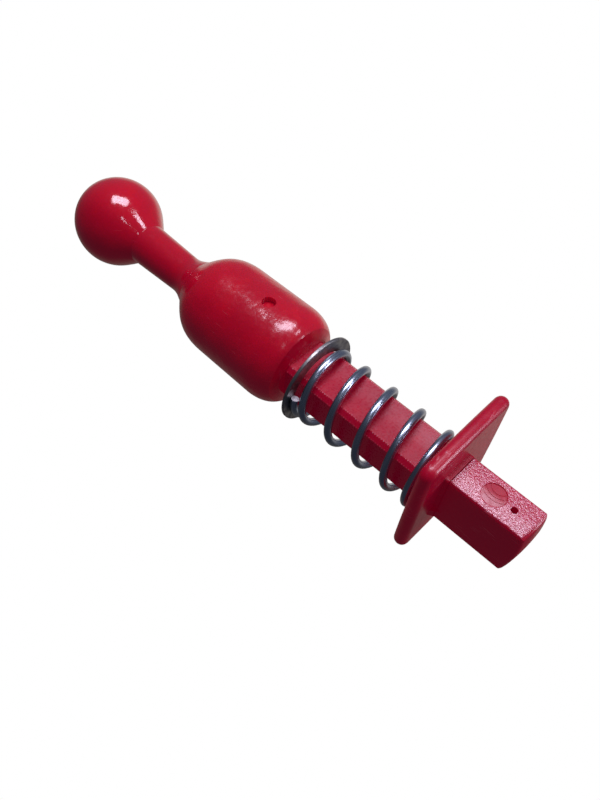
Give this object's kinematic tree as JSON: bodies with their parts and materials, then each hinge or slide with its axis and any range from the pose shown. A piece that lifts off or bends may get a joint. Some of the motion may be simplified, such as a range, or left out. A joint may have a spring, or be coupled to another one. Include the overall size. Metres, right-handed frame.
{
  "type": "spring plunger knob",
  "caption": "Red ball-ended hand plunger whose capsule body slides on a square-cornered shaft against a coil spring above a flanged tongue.",
  "frame": {"origin": "flange underside on the shaft axis", "axes": "+Z along the shaft towards the ball, +X out of the tongue's narrow face with the round mark, +Y towards the side where the flange stands out further"},
  "size_m": [0.0544, 0.0517, 0.2447],
  "materials": {
    "red_gloss": "gloss",
    "red_guide": "gloss",
    "red_pin": "gloss",
    "red_shaft": "satin",
    "red_foot": "satin",
    "spring_steel": "polished",
    "washer_steel": "zinc plated"
  },
  "bodies": {
    "fixed": {"guide_shaft": "red_shaft", "foot": "red_foot", "coil_spring": "spring_steel"},
    "washer": {"spring_washer": "washer_steel"},
    "knob": {"ball_stem": "red_gloss", "capsule_body": "red_gloss", "mouth_bush": "red_guide", "retaining_pin": "red_pin"}
  },
  "joints": [
    {"name": "spring_compress", "type": "slide", "parent": "fixed", "child": "washer", "axis": [0, 0, -1], "range_m": [0, 0.0098], "stiffness_N_per_m": 8000, "deforming": ["coil_spring"]},
    {"name": "take_up", "type": "slide", "parent": "washer", "child": "knob", "axis": [0, 0, -1], "range_m": [0, 0.0066]}
  ]
}
